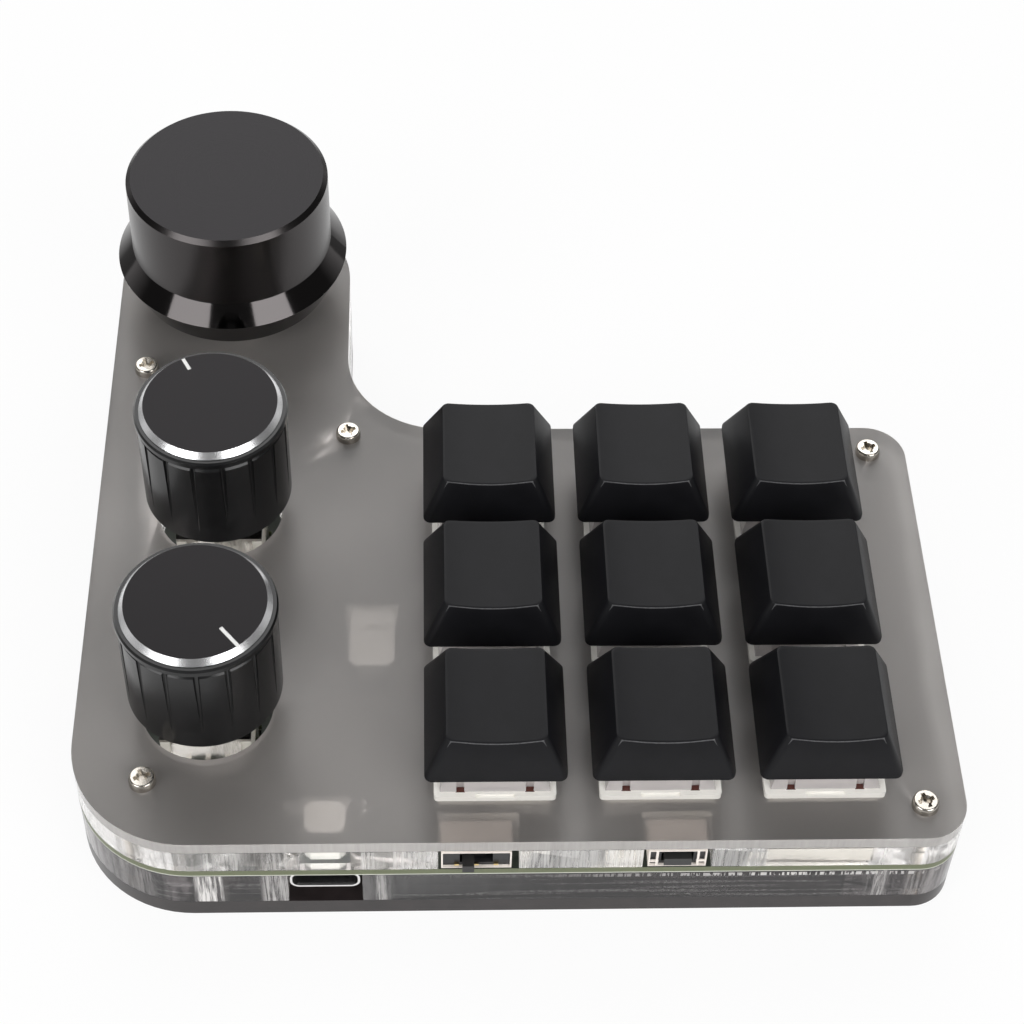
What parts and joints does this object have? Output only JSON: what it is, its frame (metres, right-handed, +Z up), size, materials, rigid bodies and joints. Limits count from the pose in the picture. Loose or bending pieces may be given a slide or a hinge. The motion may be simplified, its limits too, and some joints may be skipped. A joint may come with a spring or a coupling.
{
  "type": "macro keypad",
  "caption": "Small desk keypad with a grid of square keys beside a column of push-and-turn knobs, on a layered acrylic case with a side slide switch.",
  "frame": {"origin": "under the middle of the whole keypad's bounding box, on the surface it stands on", "axes": "+X to the user's right, +Y away from the user, +Z up; the sockets and side switches face -Y"},
  "size_m": [0.1142, 0.1168, 0.0391],
  "materials": {
    "base_black": "satin black sheet with polished edges",
    "clear_acrylic": "polished clear sheet",
    "frosted_acrylic": "frosted sheet",
    "board_mask": "solder mask, bare laminate edge",
    "screw_nickel": "nickel plated",
    "standoff_brass": "nickel-free brass",
    "switch_white": "moulded",
    "switch_clear": "clear moulded",
    "contact_gold": "plated",
    "spring_steel": "drawn wire",
    "stem_plastic": "moulded",
    "keycap_black": "fine moulded grain",
    "encoder_ivory": "moulded",
    "encoder_metal": "plated sheet",
    "rotor_black": "moulded",
    "shaft_metal": "turned",
    "anodised_black": "black anodised, bright skirt",
    "knob_black": "moulded with a soft sheen",
    "disc_anodised": "satin anodised with a bright cut ring",
    "led_white": "moulded with a resin lens",
    "chip_black": "moulded",
    "capacitor_tan": "ceramic",
    "button_black": "moulded",
    "shell_steel": "plated sheet"
  },
  "bodies": {
    "case": {"base_plate": "base_black", "lower_spacer": "clear_acrylic", "circuit_board": "board_mask", "upper_spacer": "clear_acrylic", "top_plate": "frosted_acrylic", "top_screws": "screw_nickel", "bottom_screws": "screw_nickel", "standoffs": "standoff_brass", "switch_bases": "switch_white", "switch_covers": "switch_clear", "switch_contacts": "contact_gold", "switch_springs": "spring_steel", "encoder_bases": "encoder_ivory", "encoder_covers": "encoder_metal", "encoder_terminals": "encoder_metal", "push_domes": "spring_steel", "slide_switch_shell": "shell_steel", "slide_switch_body": "chip_black", "slide_switch_pins": "contact_gold", "push_switch_shell": "shell_steel", "push_switch_body": "chip_black", "usb_shell": "shell_steel", "usb_tongue": "chip_black", "ambient_leds": "led_white", "controller_chip": "chip_black", "crystal": "shell_steel", "diodes": "chip_black", "capacitors": "capacitor_tan"},
    "key_1": {"keycap_1": "keycap_black", "switch_stem_1": "stem_plastic"},
    "key_2": {"keycap_2": "keycap_black", "switch_stem_2": "stem_plastic"},
    "key_3": {"keycap_3": "keycap_black", "switch_stem_3": "stem_plastic"},
    "key_4": {"keycap_4": "keycap_black", "switch_stem_4": "stem_plastic"},
    "key_5": {"keycap_5": "keycap_black", "switch_stem_5": "stem_plastic"},
    "key_6": {"keycap_6": "keycap_black", "switch_stem_6": "stem_plastic"},
    "key_7": {"keycap_7": "keycap_black", "switch_stem_7": "stem_plastic"},
    "key_8": {"keycap_8": "keycap_black", "switch_stem_8": "stem_plastic"},
    "key_9": {"keycap_9": "keycap_black", "switch_stem_9": "stem_plastic"},
    "rotor_1": {"encoder_rotor_1": "rotor_black"},
    "rotor_2": {"encoder_rotor_2": "rotor_black"},
    "rotor_3": {"encoder_rotor_3": "rotor_black"},
    "big_knob": {"knob_shaft_1": "shaft_metal", "big_knob": "anodised_black", "big_knob_screw": "screw_nickel"},
    "upper_knob": {"knob_shaft_2": "shaft_metal", "upper_knob_body": "knob_black", "upper_knob_disc": "disc_anodised"},
    "lower_knob": {"knob_shaft_3": "shaft_metal", "lower_knob_body": "knob_black", "lower_knob_disc": "disc_anodised"},
    "slide": {"slide_nub": "button_black"},
    "push_button": {"push_switch_button": "button_black"}
  },
  "joints": [
    {"name": "key_1_press", "type": "slide", "parent": "case", "child": "key_1", "axis": [0, 0, -1], "range_m": [0, 0.004], "stiffness_N_per_m": 90, "springref_m": -0.003, "deforming": ["switch_springs"]},
    {"name": "key_2_press", "type": "slide", "parent": "case", "child": "key_2", "axis": [0, 0, -1], "range_m": [0, 0.004], "stiffness_N_per_m": 90, "springref_m": -0.003, "deforming": ["switch_springs"]},
    {"name": "key_3_press", "type": "slide", "parent": "case", "child": "key_3", "axis": [0, 0, -1], "range_m": [0, 0.004], "stiffness_N_per_m": 90, "springref_m": -0.003, "deforming": ["switch_springs"]},
    {"name": "key_4_press", "type": "slide", "parent": "case", "child": "key_4", "axis": [0, 0, -1], "range_m": [0, 0.004], "stiffness_N_per_m": 90, "springref_m": -0.003, "deforming": ["switch_springs"]},
    {"name": "key_5_press", "type": "slide", "parent": "case", "child": "key_5", "axis": [0, 0, -1], "range_m": [0, 0.004], "stiffness_N_per_m": 90, "springref_m": -0.003, "deforming": ["switch_springs"]},
    {"name": "key_6_press", "type": "slide", "parent": "case", "child": "key_6", "axis": [0, 0, -1], "range_m": [0, 0.004], "stiffness_N_per_m": 90, "springref_m": -0.003, "deforming": ["switch_springs"]},
    {"name": "key_7_press", "type": "slide", "parent": "case", "child": "key_7", "axis": [0, 0, -1], "range_m": [0, 0.004], "stiffness_N_per_m": 90, "springref_m": -0.003, "deforming": ["switch_springs"]},
    {"name": "key_8_press", "type": "slide", "parent": "case", "child": "key_8", "axis": [0, 0, -1], "range_m": [0, 0.004], "stiffness_N_per_m": 90, "springref_m": -0.003, "deforming": ["switch_springs"]},
    {"name": "key_9_press", "type": "slide", "parent": "case", "child": "key_9", "axis": [0, 0, -1], "range_m": [0, 0.004], "stiffness_N_per_m": 90, "springref_m": -0.003, "deforming": ["switch_springs"]},
    {"name": "big_knob_turn", "type": "hinge", "parent": "case", "child": "rotor_1", "pos_m": [-0.04, 0.04135, 0.0149], "axis": [0, 0, 1], "continuous": true},
    {"name": "big_knob_push", "type": "slide", "parent": "rotor_1", "child": "big_knob", "axis": [0, 0, -1], "range_m": [0, 0.0005], "stiffness_N_per_m": 2500, "springref_m": -0.0008, "deforming": ["push_domes"]},
    {"name": "upper_knob_turn", "type": "hinge", "parent": "case", "child": "rotor_2", "pos_m": [-0.04, -0.00265, 0.0149], "axis": [0, 0, 1], "continuous": true},
    {"name": "upper_knob_push", "type": "slide", "parent": "rotor_2", "child": "upper_knob", "axis": [0, 0, -1], "range_m": [0, 0.0005], "stiffness_N_per_m": 2500, "springref_m": -0.0008, "deforming": ["push_domes"]},
    {"name": "lower_knob_turn", "type": "hinge", "parent": "case", "child": "rotor_3", "pos_m": [-0.04, -0.03595, 0.0149], "axis": [0, 0, 1], "continuous": true},
    {"name": "lower_knob_push", "type": "slide", "parent": "rotor_3", "child": "lower_knob", "axis": [0, 0, -1], "range_m": [0, 0.0005], "stiffness_N_per_m": 2500, "springref_m": -0.0008, "deforming": ["push_domes"]},
    {"name": "slide_switch", "type": "slide", "parent": "case", "child": "slide", "axis": [1, 0, 0], "range_m": [0, 0.0021]},
    {"name": "push_switch", "type": "slide", "parent": "case", "child": "push_button", "axis": [0, 1, 0], "range_m": [0, 0.0003], "stiffness_N_per_m": 1200, "springref_m": -0.0003}
  ]
}
